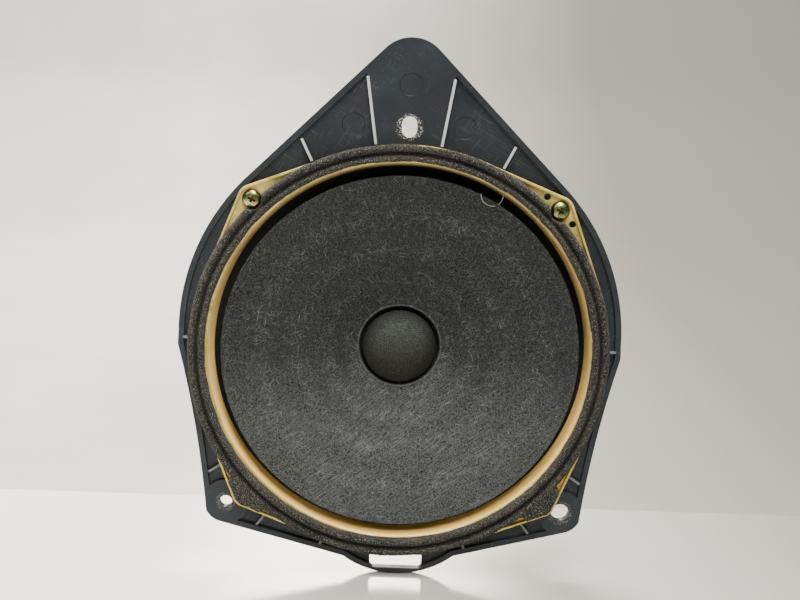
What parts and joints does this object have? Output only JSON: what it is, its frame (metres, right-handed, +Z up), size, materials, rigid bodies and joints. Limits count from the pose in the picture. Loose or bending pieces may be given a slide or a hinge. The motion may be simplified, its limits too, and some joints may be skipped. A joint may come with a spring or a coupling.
{
  "type": "car door speaker on a mounting baffle",
  "caption": "Round paper-cone car door speaker with foam front gasket, screwed to a black teardrop-shaped mounting baffle with lugs.",
  "frame": {"origin": "the speaker's axis where it meets the baffle's flat rear face", "axes": "+X to the right seen from the front, +Y to the rear along the speaker axis, +Z up towards the pointed top"},
  "size_m": [0.1766, 0.0642, 0.217],
  "materials": {
    "black_plastic": "satin moulded",
    "zinc_steel": "yellow zinc plating, satin",
    "gasket_foam": "open-cell foam",
    "screw_zinc": "yellow zinc",
    "surround_rubber": "matt",
    "spider_cloth": "resin-treated woven cloth",
    "plated_steel": "zinc plated",
    "ferrite": "ground ferrite",
    "vent_mesh": "fine mesh",
    "board": "phenolic board",
    "tin_brass": "tinned brass",
    "rivet_metal": "bright",
    "copper_braid": "bare copper braid",
    "tinned_braid": "tinned copper braid",
    "cone_paper": "pulp with fine light fibres",
    "cap_cloth": "coated cloth",
    "former_film": "amber film",
    "coil_wire": "enamelled copper",
    "glue": "cured adhesive"
  },
  "bodies": {
    "speaker": {"mounting_baffle": "black_plastic", "basket": "zinc_steel", "front_gasket": "gasket_foam", "frame_screws": "screw_zinc", "surround": "surround_rubber", "spider": "spider_cloth", "top_plate": "plated_steel", "ring_magnet": "ferrite", "yoke": "plated_steel", "vent_screen": "vent_mesh", "staking_rivets": "plated_steel", "terminal_board": "board", "positive_blade": "tin_brass", "negative_blade": "tin_brass", "terminal_rivets": "rivet_metal", "positive_lead": "copper_braid", "negative_lead": "tinned_braid"},
    "moving_cone": {"cone": "cone_paper", "dust_cap": "cap_cloth", "coil_former": "former_film", "voice_coil": "coil_wire", "coil_leadouts": "coil_wire", "neck_glue": "glue", "spider_glue": "glue"}
  },
  "joints": [
    {"name": "cone_travel", "type": "slide", "parent": "speaker", "child": "moving_cone", "axis": [0, -1, 0], "range_m": [-0.004, 0.004], "stiffness_N_per_m": 1200, "deforming": ["surround", "spider", "positive_lead", "negative_lead"]}
  ]
}
